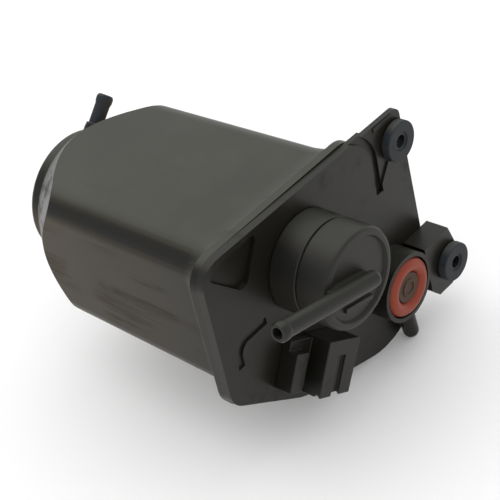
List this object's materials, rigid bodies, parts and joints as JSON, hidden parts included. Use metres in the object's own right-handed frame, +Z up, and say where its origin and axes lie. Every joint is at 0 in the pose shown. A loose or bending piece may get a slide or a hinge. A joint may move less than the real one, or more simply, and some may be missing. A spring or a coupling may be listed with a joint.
{
  "type": "fuel vapour filter canister",
  "caption": "Fuel vapour filter canister: box housing with round end, flanged lid with purge valve, air port, mounting shoe, bushed lugs and hose spigots.",
  "frame": {"origin": "on the axis of the upper lug's bore, in the plane where the lid meets the housing", "axes": "+X along the canister towards the lid and valve, +Z up, +Y towards the lug side"},
  "size_m": [0.1997, 0.1655, 0.1326],
  "materials": {
    "black_plastic": "satin black, dusty",
    "cap_plastic": "satin black",
    "lid_plastic": "satin black, dusty",
    "valve_plastic": "semi-matt black",
    "grey_plastic": "matt dark grey",
    "pale_plastic": "natural nylon",
    "brown_plastic": "dusty grey-brown",
    "red_rubber": "faded orange-red",
    "bush_rubber": "matt blue-grey",
    "seal_rubber": "matt black",
    "sleeve_steel": "dull zinc",
    "spring_steel": "bright wire",
    "foam": "open-cell foam",
    "charcoal": "granular charcoal"
  },
  "bodies": {
    "canister": {"housing": "black_plastic", "end_cap": "cap_plastic", "tank_spigot": "grey_plastic", "lid": "lid_plastic", "lug_block": "lid_plastic", "air_chamber": "black_plastic", "air_filter_foam": "foam", "upper_bush": "bush_rubber", "lower_bush": "bush_rubber", "upper_sleeve": "sleeve_steel", "lower_sleeve": "sleeve_steel", "valve_base": "valve_plastic", "valve_seat_seal": "seal_rubber", "valve_diaphragm": "seal_rubber", "valve_spring": "spring_steel", "valve_cap": "valve_plastic", "port_collar": "lid_plastic", "port_seal_ring": "red_rubber", "port_insert": "brown_plastic", "check_spring": "spring_steel", "mounting_shoe": "lid_plastic", "partition": "black_plastic", "upper_charcoal": "charcoal", "lower_charcoal": "charcoal", "front_grid": "black_plastic", "upper_front_foam": "foam", "lower_front_foam": "foam", "upper_back_foam": "foam", "lower_back_foam": "foam", "upper_bed_spring": "spring_steel", "lower_bed_spring": "spring_steel"},
    "plunger": {"valve_plunger": "pale_plastic"},
    "check": {"check_disc": "seal_rubber"},
    "upper_plate": {"upper_spring_plate": "black_plastic"},
    "lower_plate": {"lower_spring_plate": "black_plastic"}
  },
  "joints": [
    {"name": "plunger_lift", "type": "slide", "parent": "canister", "child": "plunger", "axis": [1, 0, 0], "range_m": [0, 0.003], "stiffness_N_per_m": 300, "springref_m": -0.004, "deforming": ["valve_spring"]},
    {"name": "check_lift", "type": "slide", "parent": "canister", "child": "check", "axis": [1, 0, 0], "range_m": [0, 0.002], "stiffness_N_per_m": 40, "springref_m": -0.003, "deforming": ["check_spring"]},
    {"name": "upper_plate_slide", "type": "slide", "parent": "canister", "child": "upper_plate", "axis": [-1, 0, 0], "range_m": [0, 0.004], "stiffness_N_per_m": 400, "springref_m": -0.01, "deforming": ["upper_bed_spring"]},
    {"name": "lower_plate_slide", "type": "slide", "parent": "canister", "child": "lower_plate", "axis": [-1, 0, 0], "range_m": [0, 0.004], "stiffness_N_per_m": 400, "springref_m": -0.01, "deforming": ["lower_bed_spring"]}
  ]
}
